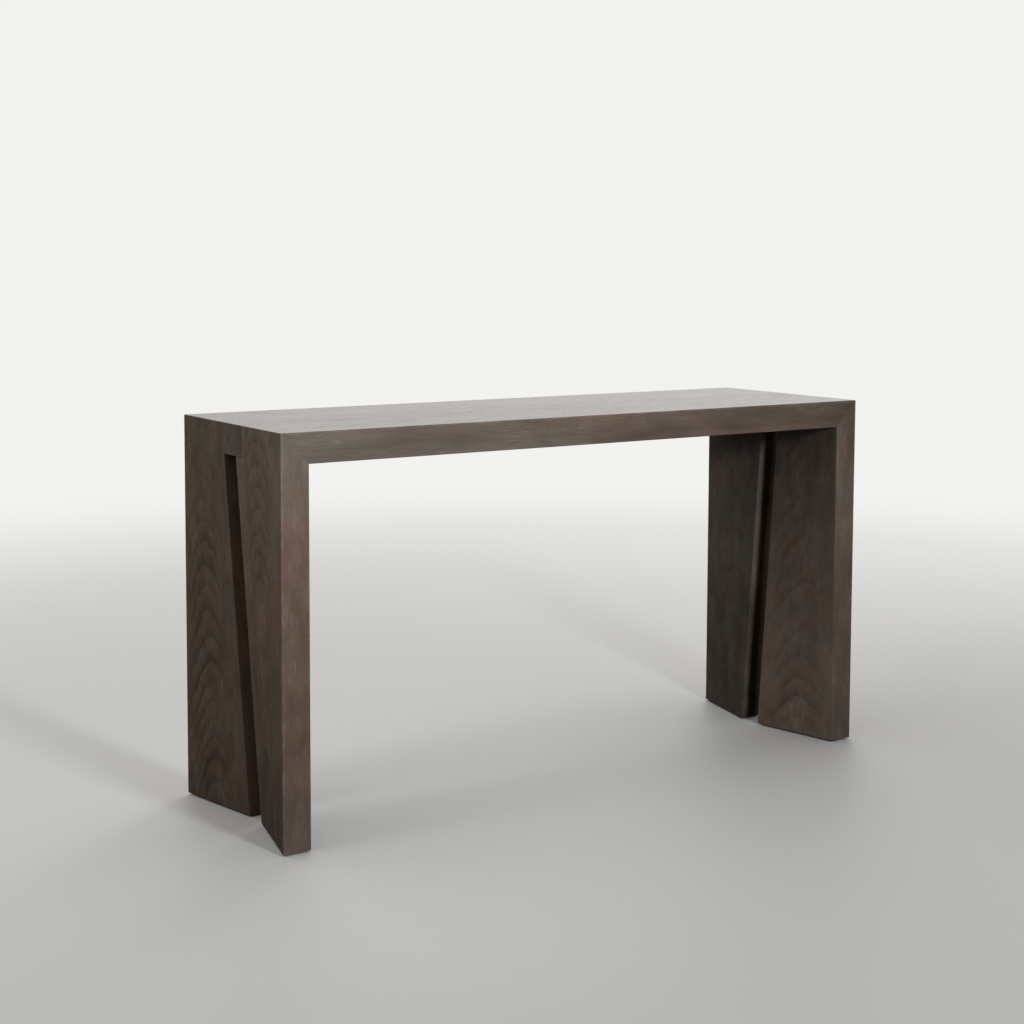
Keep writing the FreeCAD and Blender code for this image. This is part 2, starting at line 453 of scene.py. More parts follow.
@dataclass(frozen=True)
class StainedOak:
    """Dark stained oak: growth rings about a far pith, open pores and worn arrises.

    Its fields of noise lie along, across and through a board. The strokes alone lie over the
    rings instead of along the board.

    Attributes:
        late: Colour of the dense late wood between the pores.
        early: Colour of the porous early wood, which takes more stain.
        pore: Colour inside the open pores.
        fleck: Colour of the short pale flecks.
        worn: Colour where the stain is rubbed thin.
        cool: Tint of the greyer parts of the stain.
        warm: Tint of the redder parts of the stain.
        neutral_hue: Share of the warm tint in the rest.
        ring_width: Breadth of a growth ring in metres.
        ring_stops: How porous the wood is from one ring to the next.
        faint_ring: Strength of the faintest ring, where the strongest has 1.
        ring_stain: How far early wood takes its own colour.
        side_span: Distances from the middle of the board over which the figure fades.
        side_figure: How much of it is left beyond them.
        drift: Slow wander of the rings.
        ripple: Quick wander of the rings.
        patches: Where the figure is open enough to show.
        late_pores: Share of the pores that open in late wood.
        early_pores: How much larger this share is in early wood.
        fleck_room: How far flecks show on darker and lighter blotches.
    """

    late: Colour = (0.132, 0.095, 0.071)
    early: Colour = (0.055, 0.037, 0.026)
    pore: Colour = (0.030, 0.020, 0.014)
    fleck: Colour = (0.185, 0.142, 0.112)
    worn: Colour = (0.240, 0.205, 0.172)
    cool: Colour = (0.885, 1.02, 1.08)
    warm: Colour = (1.085, 0.97, 0.93)
    neutral_hue: float = 0.5
    ring_width: float = 0.0068
    ring_stops: Stops = ((0.0, 0.0), (0.13, 1.0), (0.32, 0.66), (0.70, 0.12), (1.0, 0.0))
    faint_ring: float = 0.35
    ring_stain: float = 0.72
    side_span: Span = (0.03, 0.085)
    side_figure: float = 0.20
    drift: Field = Field((2.0, 6.0, 6.0), 1.0, reach=0.034)
    ripple: Field = Field((22.0, 60.0, 60.0), 3.0, reach=0.0034)
    strokes: Field = Field((2.4, 22.0, 22.0), 2.0, 0.6)
    patches: Field = Field((4.0, 12.0, 12.0), 1.0, stops=((0.32, 0.45), (0.60, 1.0)))
    fibres: Field = Field((10.0, 300.0, 300.0), 3.0, 0.6)
    streaks: Field = Field((4.0, 75.0, 75.0))
    blotches: Field = Field((12.0, 28.0, 28.0), 3.0, 0.55)
    hues: Field = Field((14.0, 26.0, 26.0), reach=1.6)
    pores: Field = Field((42.0, 620.0, 620.0), 1.0, stops=((0.50, 0.0), (0.68, 1.0)))
    late_pores: float = 0.14
    early_pores: float = 0.75
    flecks: Field = Field((28.0, 260.0, 260.0), 1.0, stops=((0.58, 0.0), (0.72, 1.0)))
    fleck_room: Stops = ((0.45, 0.0), (0.62, 0.6))
    rubs: Field = Field((26.0, 70.0, 70.0), 3.0, 0.65, stops=((0.40, 0.1), (0.66, 1.0)))
    lift: StainLift = StainLift()
    gloss: OakGloss = OakGloss()

    def rings(self, graph: NodeGraph, grain: Socket) -> tuple[Socket, Socket, Socket]:
        """Growth rings cut by the board's surface.

        Args:
            graph: The material's graph.
            grain: The board's own coordinates: along, across and through.

        Returns:
            How far into early wood a point is, strokes that follow the rings, and where
            the figure is open enough to show.
        """
        along, across, through = graph.parts(grain)
        reach = graph.length(graph.vector(0.0, across, through))
        radius = graph.total(
            graph.times(along, graph.attribute("taper"), reach),
            graph.noise(grain, self.drift),
            graph.noise(grain, self.ripple),
        )
        ring = graph.math("DIVIDE", radius, self.ring_width)
        early = graph.ramp(graph.math("FRACT", ring), self.ring_stops, smooth=False)
        number = graph.math("FLOOR", ring)
        draw = graph.node("ShaderNodeTexWhiteNoise", {"W": number}, noise_dimensions="1D").outputs["Value"]
        strength = graph.times(draw, 1.0 - self.faint_ring, self.faint_ring)
        stroke = graph.noise(graph.vector(ring, across, through), self.strokes)
        window = graph.blend(graph.math("ABSOLUTE", across), self.side_span, (1.0, self.side_figure))
        return graph.times(early, strength), stroke, graph.times(graph.noise(grain, self.patches), window)

    def material(self) -> bpy.types.Material:
        """Builds the finish.

        Returns:
            The material.
        """
        material, graph = new_material("stained_oak")
        lift, gloss = self.lift, self.gloss
        grain = graph.attribute("grain", "Vector")
        mottle = graph.attribute("mottle", "Vector")
        # Tone and warmth also carry painted light and shade from some boards' plans.
        tone, warmth, figure = graph.parts(graph.attribute("stain", "Vector"))
        early, stroke, open_figure = self.rings(graph, grain)
        shown = graph.times(open_figure, figure)
        band = graph.times(early, shown)
        fibre = graph.noise(grain, self.fibres)
        blotch = graph.noise(mottle, self.blotches)
        pore_room = graph.times(band, self.early_pores, self.late_pores)
        pores = graph.math("MULTIPLY", graph.noise(grain, self.pores), pore_room, clamp=True)
        flecks = graph.times(graph.noise(grain, self.flecks), graph.ramp(blotch, self.fleck_room))

        body = graph.mix(graph.times(band, self.ring_stain), self.late, self.early)
        body = graph.mix(pores, body, self.pore)
        body = graph.mix(flecks, body, self.fleck)
        flame = graph.times(graph.math("SUBTRACT", stroke, lift.stroke_middle), shown)
        brightness = graph.total(
            graph.times(fibre, lift.fibre, lift.base),
            graph.times(graph.noise(grain, self.streaks), lift.streak),
            graph.times(blotch, lift.blotch),
            graph.times(flame, lift.flame),
            tone,
        )
        body = graph.mix(1.0, body, graph.math("MAXIMUM", brightness, lift.darkest), "MULTIPLY")
        own_hue = graph.math("ADD", warmth, self.neutral_hue)
        hue = graph.math("ADD", graph.noise(mottle, self.hues), own_hue, clamp=True)
        body = graph.mix(1.0, body, graph.mix(hue, self.cool, self.warm), "MULTIPLY")
        rub = graph.times(graph.attribute("worn"), graph.noise(grain, self.rubs))

        lacquer = graph.attribute("lacquer")
        rough = graph.total(
            graph.blend(lacquer, gloss.film, gloss.roughness),
            graph.times(pores, gloss.pore_rough),
            graph.times(fibre, gloss.fibre_rough),
            graph.times(lacquer, -gloss.polish),
        )
        coat = graph.times(blotch, gloss.blotch_shine, gloss.coat_shine)
        relief = graph.total(
            graph.times(fibre, gloss.fibre_relief),
            graph.times(band, -gloss.band_relief),
            graph.times(pores, -1.0),
        )
        graph.surface(graph.shader({
            "Base Color": graph.mix(rub, body, self.worn),
            "Roughness": rough,
            "Specular IOR Level": graph.times(lacquer, coat, gloss.bare_shine),
            "Normal": graph.bump(relief, *gloss.bump),
        }))
        return material


@dataclass(frozen=True)
class MarkedFinish:
    """A plain finish with small marks in it.

    Attributes:
        body: Its main colour.
        mark: Colour of the marks.
        field: Where the marks lie.
        cover: How far a mark hides the main colour.
        mark_rough: Roughness that a mark adds.
        bump: Strength of the marks' relief, and its depth in metres.
    """

    name: str
    body: Colour
    mark: Colour
    field: Field
    cover: float
    roughness: float
    mark_rough: float = 0.0
    metallic: float = 0.0
    bump: Span | None = None

    def material(self) -> bpy.types.Material:
        """Builds the finish.

        Returns:
            The material.
        """
        material, graph = new_material(self.name)
        marks = graph.noise(graph.place(), self.field)
        inputs = {
            "Base Color": graph.mix(graph.times(marks, self.cover), self.body, self.mark),
            "Roughness": self.roughness,
            "Metallic": self.metallic,
        }
        if self.mark_rough:
            inputs["Roughness"] = graph.times(marks, self.mark_rough, self.roughness)
        if self.bump:
            inputs["Normal"] = graph.bump(marks, *self.bump)
        graph.surface(graph.shader(inputs))
        return material


BARE_BEECH = MarkedFinish(
    name="bare_beech",
    body=(0.56, 0.38, 0.23),
    mark=(0.36, 0.21, 0.11),
    field=Field((420.0, 420.0, 420.0), 3.0, stops=((0.48, 0.0), (0.66, 1.0))),
    cover=0.6,
    roughness=0.62,
    bump=(0.2, 0.0002),
)
MOULDED_NYLON = MarkedFinish(
    name="moulded_nylon",
    body=(0.022, 0.021, 0.020),
    mark=(0.075, 0.072, 0.068),
    field=Field((900.0, 260.0, 900.0), 4.0, stops=((0.5, 0.0), (0.72, 1.0))),
    cover=0.6,
    roughness=0.45,
    mark_rough=0.2,
    bump=(0.15, 0.0001),
)
BRIGHT_STEEL = MarkedFinish(
    name="bright_steel",
    body=(0.56, 0.56, 0.57),
    mark=(0.34, 0.34, 0.35),
    field=Field((2600.0, 2600.0, 120.0)),
    cover=1.0,
    roughness=0.22,
    mark_rough=0.2,
    metallic=1.0,
)


@dataclass(frozen=True)
class GrainPlan:
    """Where a board was sawn from the log, how it took the stain, and light and shade painted on it.

    Attributes:
        shift: Place along the log, which gives each board a figure of its own.
        pith_across: Offset of the pith from the middle of the board's width.
        pith_depth: Distance of the pith behind the board's show face.
        tone: How much lighter or darker the board is than the rest, at even steps from its
        left or lower end to the other; on some boards this is painted light and shade.
        warmth: How much redder or greyer it is, at even steps.
        figure: How strongly it shows its rings, at even steps.
        lacquer: How much its show face is built up with lacquer, at even steps.
        wear: How far the stain is rubbed off the arrises of the show face.
        taper: How much the rings widen for each metre along the board.
        draw: How far the patches of stain are drawn out along the board.
        edge_tone: How much lighter or darker its edges are than its faces, at even steps.
        edge_warmth: How much redder or greyer its edges are than its faces, at even steps.
        slot_painted_shade: Painted shade: how much darker the slot edge is painted towards its middle.
        slot_shade_warmth: How much redder or greyer that painted shade is.
    """

    shift: float
    pith_across: float
    pith_depth: float
    tone: Profile = (0.0,)
    warmth: Profile = (0.0,)
    figure: Profile = (1.0,)
    lacquer: Profile = (0.0,)
    wear: float = 0.15
    taper: float = 0.15
    draw: float = 1.0
    edge_tone: Profile = (0.0,)
    edge_warmth: Profile = (0.0,)
    slot_painted_shade: float = -0.3
    slot_shade_warmth: float = 0.4

    @staticmethod
    def along(levels: Profile, share: np.ndarray) -> np.ndarray:
        """Levels at shares of the board's length, from 0 to 1."""
        return np.interp(share, np.linspace(0.0, 1.0, len(levels)), levels)

    def stain(self, share: np.ndarray, edge: np.ndarray, slot_shade_weight: np.ndarray) -> np.ndarray:
        """Stain and painted shade at points of the board.

        Args:
            share: Their shares of the board's length.
            edge: Whether they lie on an edge of the board.
            slot_shade_weight: Weight of the painted shade in the slot, from 0 at its lips to 1 in its
                middle.

        Returns:
            A row of tone, warmth and figure for each point, tone and warmth with painted shade.
        """
        tone = self.along(self.tone, share) + self.along(self.edge_tone, share) * edge
        warmth = self.along(self.warmth, share) + self.along(self.edge_warmth, share) * edge
        figure = self.along(self.figure, share)
        # Adds the painted shade deep in the slot to the tone and warmth.
        return np.stack([tone + self.slot_painted_shade * slot_shade_weight, warmth + self.slot_shade_warmth * slot_shade_weight, figure], axis=1)


def add_object(name: str, mesh: bpy.types.Mesh) -> bpy.types.Object:
    """Puts a mesh in the scene.

    Args:
        name: The new object's name.
        mesh: The mesh.

    Returns:
        The new object.
    """
    made = bpy.data.objects.new(name, mesh)
    bpy.context.scene.collection.objects.link(made)
    return made


def settle(piece: bpy.types.Object) -> None:
    """Turns an object's modifiers into plain mesh, and removes them.

    Args:
        piece: The object.
    """
    depsgraph = bpy.context.evaluated_depsgraph_get()
    shaped = piece.evaluated_get(depsgraph)
    mesh = bpy.data.meshes.new_from_object(shaped, preserve_all_data_layers=True, depsgraph=depsgraph)
    old = piece.data
    piece.modifiers.clear()
    piece.data = mesh
    bpy.data.meshes.remove(old)


def shade_smooth(mesh: bpy.types.Mesh, sharp_angle: float) -> None:
    """Shades a mesh smooth, apart from where its faces meet at more than an angle in degrees."""
    mesh.shade_smooth()
    mesh.set_sharp_from_angle(angle=math.radians(sharp_angle))


def hand_over(piece: bpy.types.Object, nodes: Sequence[str]) -> None:
    """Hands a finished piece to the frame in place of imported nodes.

    Args:
        piece: The piece.
        nodes: The nodes that it replaces.
    """
    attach(piece, ROOT_BODY)
    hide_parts(*nodes)
    log.info("%s: %d faces for %s", piece.name, len(piece.data.polygons), ", ".join(nodes))


def spread(low: float, high: float, steps: int, support: float) -> np.ndarray:
    """Grid places from low to high, evenly spaced between a support line near each end.

    Args:
        low: First place.
        high: Last place.
        steps: Even steps between the support lines.
        support: Distance of the support lines from the ends, towards each other.

    Returns:
        The places in order.
    """
    way = math.copysign(support, high - low)
    return np.array([low, *np.linspace(low + way, high - way, steps + 1), high])


def straight_section(runs: Sequence[float], depths: np.ndarray) -> np.ndarray:
    """Grid points of a board's straight part: places along it and depths below its show face."""
    return np.stack(np.meshgrid(runs, depths, indexing="ij"), axis=-1)


@dataclass(frozen=True)
class MitreRun:
    """Grid steps that lead a board up to its mitre and round the eased outer corner.

    Attributes:
        start: Place along the board where the run starts.
        reach: Place along the board of the sharp outer corner.
        slope: How far the mitre draws back for each unit of depth.
        ease: Radius of the eased corner.
        first_over_ease: Length of the first step below the show face, as a multiple of the ease.
        first_of_run: Most that this step may take of a short run.
    """

    start: float
    reach: float
    slope: float
    ease: float
    straight_steps: int = 3
    arc_steps: int = 2
    first_over_ease: float = 1.2
    first_of_run: float = 0.85

    def section(self, depths: np.ndarray) -> np.ndarray:
        """Grid points of the run.

        Args:
            depths: Depths of the grid below the show face, from zero.

        Returns:
            Places along the board and depths below its show face, by step and depth.
        """
        last = self.straight_steps + self.arc_steps
        step = np.arange(1, last + 1)
        run = self.reach - depths * self.slope - self.start
        room = np.minimum(self.first_of_run * run, self.first_over_ease * self.ease)
        first = np.maximum(run / last, room)
        places = straight_section(step, depths)
        places[..., 0] = self.start + first + np.outer(step - 1, run - first) / (last - 1)
        angle = math.pi / 4 * np.maximum(step - self.straight_steps, 0) / self.arc_steps
        flat = (self.reach - self.ease - self.start) * np.minimum(step / self.straight_steps, 1.0)
        places[:, 0, 0] = self.start + flat + self.ease * np.sin(angle)
        places[:, 0, 1] = self.ease * (1.0 - np.cos(angle))
        return places


@dataclass
class OakBoard:
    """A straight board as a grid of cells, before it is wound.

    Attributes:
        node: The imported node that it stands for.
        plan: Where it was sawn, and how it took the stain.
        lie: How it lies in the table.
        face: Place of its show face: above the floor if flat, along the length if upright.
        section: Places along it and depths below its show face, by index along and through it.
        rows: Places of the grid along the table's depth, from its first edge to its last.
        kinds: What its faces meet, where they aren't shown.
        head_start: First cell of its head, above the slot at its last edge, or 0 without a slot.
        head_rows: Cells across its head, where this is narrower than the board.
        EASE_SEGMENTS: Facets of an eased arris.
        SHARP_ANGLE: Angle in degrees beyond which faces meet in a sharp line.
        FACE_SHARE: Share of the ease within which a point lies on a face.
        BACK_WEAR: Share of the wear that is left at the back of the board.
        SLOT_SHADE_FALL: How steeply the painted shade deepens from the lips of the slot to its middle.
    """

    node: str
    plan: GrainPlan
    lie: Lie
    face: float
    section: np.ndarray
    rows: Sequence[float]
    kinds: dict[BoardFace, FaceKind]
    head_start: int = 0
    head_rows: float = math.inf

    EASE_SEGMENTS = 3
    SHARP_ANGLE = 40.0
    FACE_SHARE = 0.2
    BACK_WEAR = 0.2
    SLOT_SHADE_FALL = 3

    def in_space(self) -> np.ndarray:
        """Places the grid in the table's frame.

        Returns:
            The grid points, by index along, through and across the board.
        """
        along, below, across = np.broadcast_arrays(self.section[..., :1], self.section[..., 1:], self.rows)
        flat = self.lie is Lie.FLAT
        parts = [along, across, self.face - below] if flat else [self.face + below, across, along]
        return np.stack(parts, axis=-1)

    def on_board(self, places: np.ndarray) -> np.ndarray:
        """Finds points on the board's own axes.

        Args:
            places: Points in the table's frame, one in each row.

        Returns:
            The points along, across and through the board, from the middle of its width.
        """
        x, y, z = places.T
        along, below = (x, self.face - z) if self.lie is Lie.FLAT else (z, x - self.face)
        return np.stack([along, y - (self.rows[0] + self.rows[-1]) / 2, below], axis=1)

    def held(self, cell: Cell) -> bool:
        """Whether a cell lies in the board.

        Args:
            cell: The cell's index along, through and across the board.

        Returns:
            True where the board has wood.
        """
        counts = (*self.section.shape[:2], len(self.rows))
        inside = all(0 <= index < count - 1 for index, count in zip(cell, counts))
        return inside and not (cell[0] >= self.head_start and cell[2] >= self.head_rows)

    def meets(self, face: BoardFace, cell: Cell) -> FaceKind:
        """What a cell's face meets.

        Args:
            face: Which face of the board it lies on.
            cell: The cell's index.

        Returns:
            What it meets: below the head, an edge that is bridged there is shown.
        """
        kind = self.kinds.get(face, FaceKind.SHOWN)
        in_slot = kind is FaceKind.BRIDGED and cell[0] < self.head_start
        return FaceKind.SHOWN if in_slot else kind

    def sharp_mesh(self, sizes: TableSizes) -> tuple[bpy.types.Mesh, np.ndarray]:
        """Builds the board's skin, with its arrises marked for easing.

        Args:
            sizes: The table's sizes.

        Returns:
            The mesh, and the arrises as an array of start and end points.
        """
        places = self.in_space()
        shape = bmesh.new()
        weight = shape.edges.layers.float.new("bevel_weight_edge")
        points: dict[Cell, bmesh.types.BMVert] = {}
        meets: dict[bmesh.types.BMFace, tuple[BoardFace, FaceKind]] = {}
        cells = product(*(range(count - 1) for count in places.shape[:3]))
        for cell, face in product(filter(self.held, cells), BoardFace):
            axis, side = face.value
            beside = tuple(index + (2 * side - 1) * (n == axis) for n, index in enumerate(cell))
            if self.held(beside):
                continue
            ring = []
            for first, second in ((0, 0), (1, 0), (1, 1), (0, 1)):
                corner = list(cell)
                corner[axis] += side
                corner[(axis + 1) % 3] += first
                corner[(axis + 2) % 3] += second
                key = tuple(corner)
                if key not in points:
                    points[key] = shape.verts.new(places[key])
                ring.append(points[key])
            meets[shape.faces.new(ring)] = (face, self.meets(face, cell))
        bmesh.ops.recalc_face_normals(shape, faces=shape.faces)
        weights = {
            frozenset({FaceKind.SHOWN}): 1.0,
            frozenset({FaceKind.SHOWN, FaceKind.BRIDGED}): sizes.joint_ease / sizes.ease,
        }
        arrises = []
        for edge in shape.edges:
            faces, kinds = map(frozenset, zip(*(meets[face] for face in edge.link_faces)))
            if len(faces) > 1 and kinds in weights:
                edge[weight] = weights[kinds]
                arrises.append([tuple(vert.co) for vert in edge.verts])
        mesh = bpy.data.meshes.new(self.node + "_oak")
        shape.to_mesh(mesh)
        shape.free()
        return mesh, np.array(arrises)

    def mark_grain(self, mesh: bpy.types.Mesh, arrises: np.ndarray, sizes: TableSizes) -> None:
        """Writes the board's own coordinates, stain, wear, lacquer and taper on its points.

        Args:
            mesh: The straight board's mesh.
            arrises: Its sharp arrises.
            sizes: The table's sizes.
        """
        plan = self.plan
        places = np.empty(len(mesh.vertices) * 3, np.float32)
        mesh.vertices.foreach_get("co", places)
        places = places.reshape(-1, 3).astype(float)
        board = self.on_board(places)
        low, high = board.min(axis=0), board.max(axis=0)
        share = (board[:, 0] - low[0]) / (high[0] - low[0])
        below = board[:, 2] / high[2]
        near = self.FACE_SHARE * sizes.ease
        to_low, to_high = board[:, 1] - low[1], high[1] - board[:, 1]
        edge = np.minimum(to_low, to_high) < near
        # Painted shade: a slot edge darkens towards the middle of its thickness, deep in the slot.
        slot_way = (self.rows[-1] - self.rows[0]) * (self.head_start > 0)
        in_slot = edge & (slot_way * (to_low - to_high) > 0.0)
        slot_shade_weight = (4.0 * below * (1.0 - below)) ** self.SLOT_SHADE_FALL * in_slot
        gap = np.full(len(places), np.inf)
        for start, end in arrises:
            step = end - start
            part = np.clip((places - start) @ step / (step @ step), 0.0, 1.0)
            gap = np.minimum(gap, np.linalg.norm(places - start - part[:, None] * step, axis=1))
        close = np.clip(1.0 - (gap - sizes.ease) / (sizes.support - sizes.ease), 0.0, 1.0)
        grain = board + (plan.shift, -plan.pith_across, plan.pith_depth)
        layers = {
            "grain": grain,
            "mottle": grain / (plan.draw, 1.0, 1.0),
            # The stain layer also carries painted light and shade.
            "stain": plan.stain(share, edge, slot_shade_weight),
            "worn": plan.wear * (1.0 - (1.0 - self.BACK_WEAR) * below) * close,
            "lacquer": plan.along(plan.lacquer, share) * (board[:, 2] < near),
            "taper": np.full(len(places), plan.taper),
        }
        for label, values in layers.items():
            kind, key = ("FLOAT_VECTOR", "vector") if values.ndim > 1 else ("FLOAT", "value")
            layer = mesh.attributes.new(label, kind, "POINT")
            layer.data.foreach_set(key, values.astype(np.float32).ravel())

    def make(self, sizes: TableSizes) -> bpy.types.Object:
        """Makes the straight board, with its arrises rounded over and its grain marked.

        Args:
            sizes: The table's sizes.

        Returns:
            The piece, without a material.
        """
        mesh, arrises = self.sharp_mesh(sizes)
        piece = add_object(self.node + "_oak", mesh)
        ease = piece.modifiers.new("ease", "BEVEL")
        ease.limit_method = "WEIGHT"
        ease.width = sizes.ease
        ease.segments = self.EASE_SEGMENTS
        settle(piece)
        self.mark_grain(piece.data, arrises, sizes)
        return piece

    def finish(self, piece: bpy.types.Object) -> None:
        """Sets the normals of the board's piece by face area, and hands it to the frame.

        Args:
            piece: The piece, with its material.
        """
        shade_smooth(piece.data, self.SHARP_ANGLE)
        piece.modifiers.new("flat_faces", "WEIGHTED_NORMAL").keep_sharp = True
        settle(piece)
        hand_over(piece, [self.node])


class PieceTree:
    """A Geometry Nodes tree that shapes and dresses a piece."""

    def __init__(self, name: str, inputs: dict[str, str]) -> None:
        """Starts the tree.

        Args:
            name: The tree's name.
            inputs: Names and kinds of its inputs, beside the shape and the finish.
        """
        self.tree = bpy.data.node_groups.new(name, "GeometryNodeTree")
        self.graph = NodeGraph(self.tree)
        face = self.tree.interface
        self.ids = {
            label: face.new_socket(label, in_out="INPUT", socket_type="NodeSocket" + kind).identifier
            for label, kind in {"Shape": "Geometry", **inputs, "Finish": "Material"}.items()
        }
        face.new_socket("Shape", in_out="OUTPUT", socket_type="NodeSocketGeometry")
        self.given = self.graph.node("NodeGroupInput").outputs

    def close(self, shape: Socket) -> None:
        """Realizes and dresses the shape, and hands it out.

        Args:
            shape: The shaped geometry.
        """
        whole = self.graph.node("GeometryNodeRealizeInstances", {"Geometry": shape}).outputs[0]
        inputs = {"Geometry": whole, "Material": self.given["Finish"]}
        dressed = self.graph.node("GeometryNodeSetMaterial", inputs).outputs[0]
        self.graph.node("NodeGroupOutput", {"Shape": dressed})

    def run(self, piece: bpy.types.Object, values: dict[str, object]) -> None:
        """Runs the tree on a piece, and leaves the result as plain mesh.

        Args:
            piece: The piece.
            values: Values of the inputs by name.
        """
        rule = piece.modifiers.new(self.tree.name, "NODES")
        rule.node_group = self.tree
        for label, value in values.items():
            rule[self.ids[label]] = value
        settle(piece)


class WindingTree(PieceTree):
    """Rule that winds a straight plank inwards towards its foot."""

    LENGTHS = ("Twist", "Lean", "Slot Top", "Foot", "Outer Edge", "Slot Edge")

    def __init__(self) -> None:
        """Builds the tree once for all planks."""
        super().__init__("wind_plank", dict.fromkeys(self.LENGTHS, "Float"))
        graph = self.graph
        twist, lean, slot_top, foot, outer, slot = (self.given[name] for name in self.LENGTHS)
        _, across, height = graph.parts(graph.node("GeometryNodeInputPosition").outputs[0])
        drop = graph.math("MAXIMUM", graph.math("SUBTRACT", slot_top, height), 0.0)
        wind = graph.math("DIVIDE", drop, graph.math("SUBTRACT", slot_top, foot))
        reach = graph.math("SUBTRACT", across, outer)
        share = graph.math("DIVIDE", reach, graph.math("SUBTRACT", slot, outer))
        wound = graph.times(wind, share)
        shift = graph.vector(graph.times(wound, twist), graph.times(wound, graph.times(lean, -1.0)))
        inputs = {"Geometry": self.given["Shape"], "Offset": shift}
        self.close(graph.node("GeometryNodeSetPosition", inputs).outputs[0])

    def wind(
        self, piece: bpy.types.Object, sizes: TableSizes, side: Side, finish: bpy.types.Material
    ) -> None:
        """Winds a straight left plank.

        Args:
            piece: The plank.
            sizes: The table's sizes.
            side: Which of the end's planks it is.
            finish: The plank's material.
        """
        edges = (sizes.outer_edge(side), sizes.slot_edge(side))
        lengths = (sizes.twist, sizes.lean, sizes.slot_top, sizes.foot, *edges)
        self.run(piece, {**dict(zip(self.LENGTHS, lengths)), "Finish": finish})


class GlideRow(PieceTree):
    """Rule that sets a pad on each point."""

    def __init__(self) -> None:
        """Builds the tree."""
        super().__init__("glide_row", {"Pad": "Object"})
        pad = self.graph.node("GeometryNodeObjectInfo", {"Object": self.given["Pad"]}).outputs["Geometry"]
        inputs = {"Points": self.given["Shape"], "Instance": pad}
        self.close(self.graph.node("GeometryNodeInstanceOnPoints", inputs).outputs[0])


@dataclass
class TopSlab:
    """The slab top: boards edge-glued side by side and mitred at both ends."""

    sizes: TableSizes
    plans: dict[str, GrainPlan]
    column_steps: int = 30
    depth_steps: int = 2
    width_steps: int = 5

    def section(self) -> np.ndarray:
        """Grid of a board from mitre to mitre.

        Returns:
            Places along the board and depths below its show face.
        """
        sizes = self.sizes
        core = sizes.length / 2 - sizes.plank_thickness - sizes.support
        depths = spread(0.0, sizes.top_thickness, self.depth_steps, sizes.support)
        slope = sizes.plank_thickness / sizes.top_thickness
        right = MitreRun(core, sizes.length / 2, slope, sizes.ease).section(depths)
        left = right[::-1] * (-1.0, 1.0)
        columns = np.linspace(-core, core, self.column_steps + 1)
        return np.concatenate([left, straight_section(columns, depths), right])

    def board(self, number: int, node: str) -> OakBoard:
        """One board of the top.

        Args:
            number: The board's number from the front, from 0.
            node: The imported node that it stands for.

        Returns:
            The board.
        """
        width = self.sizes.depth / len(self.plans)
        near = -self.sizes.depth / 2 + number * width
        glued = [BoardFace.START, BoardFace.END]
        if number > 0:
            glued.append(BoardFace.FIRST_EDGE)
        if number < len(self.plans) - 1:
            glued.append(BoardFace.LAST_EDGE)
        return OakBoard(
            node=node,
            plan=self.plans[node],
            lie=Lie.FLAT,
            face=self.sizes.height,
            section=self.section(),
            rows=spread(near, near + width, self.width_steps, self.sizes.support),
            kinds=dict.fromkeys(glued, FaceKind.GLUED),
        )

    def build(self, finish: bpy.types.Material) -> None:
        """Makes and dresses the boards from front to rear.

        Args:
            finish: The boards' material.
        """
        for number, node in enumerate(self.plans):
            board = self.board(number, node)
            piece = board.make(self.sizes)
            piece.data.materials.append(finish)
            board.finish(piece)


